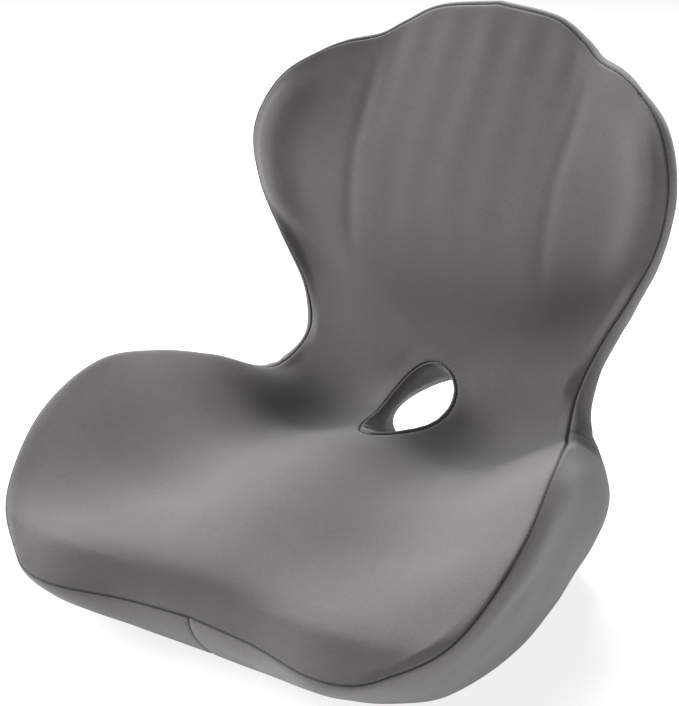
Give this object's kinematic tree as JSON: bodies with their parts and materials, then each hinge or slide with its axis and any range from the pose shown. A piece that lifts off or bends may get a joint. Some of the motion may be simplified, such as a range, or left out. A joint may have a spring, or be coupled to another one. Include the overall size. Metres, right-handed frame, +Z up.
{
  "type": "seat cushion with back",
  "caption": "Moulded foam seat cushion with a joined posture back, side wings, tailbone opening and a zipped cover.",
  "frame": {"origin": "centre of the bounding box's base, on the surface that the cushion rests on", "axes": "+Z up, -Y towards the front of the seat, X across it"},
  "size_m": [0.444, 0.4745, 0.4309],
  "materials": {
    "face_velvet": "fine short-pile velvet, soft sheen",
    "band_knit": "lighter fine knit",
    "grip_fabric": "woven with small rubber dots",
    "memory_foam": "open-cell moulded foam",
    "zip_tape_weave": "twill tape",
    "zip_coil_nylon": "nylon",
    "zip_metal": "satin plated"
  },
  "bodies": {
    "seat": {"seat_foam_core": "memory_foam", "seat_face_panel": "face_velvet", "seat_band_left": "band_knit", "seat_band_right": "band_knit", "seat_rear_panel": "band_knit", "bottom_grip_panel": "grip_fabric", "opening_sleeve": "face_velvet"},
    "back": {"back_foam_core": "memory_foam", "back_face_panel": "face_velvet", "back_band": "band_knit", "back_rear_lower_panel": "band_knit", "back_rear_upper_panel": "band_knit", "zip_tape_upper": "zip_tape_weave", "zip_tape_lower": "zip_tape_weave", "zip_coil_upper": "zip_coil_nylon", "zip_coil_lower": "zip_coil_nylon", "zip_stop_left": "zip_metal", "zip_stop_right": "zip_metal"},
    "zip_slider_body": {"zip_slider": "zip_metal"},
    "zip_pull_body": {"zip_pull": "zip_metal"}
  },
  "joints": [
    {"name": "back_flex", "type": "hinge", "parent": "seat", "child": "back", "pos_m": [0, 0.1607, 0.165], "axis": [-1, 0, 0], "range_deg": [-8, 15], "stiffness_Nm_per_rad": 20},
    {"name": "zip_slide", "type": "slide", "parent": "back", "child": "zip_slider_body", "axis": [-1, 0, 0], "range_m": [0, 0.204]},
    {"name": "zip_pull_swing", "type": "hinge", "parent": "zip_slider_body", "child": "zip_pull_body", "pos_m": [0.1022, 0.1925, 0.2156], "axis": [0, 0, -1], "range_deg": [0, 175]}
  ]
}
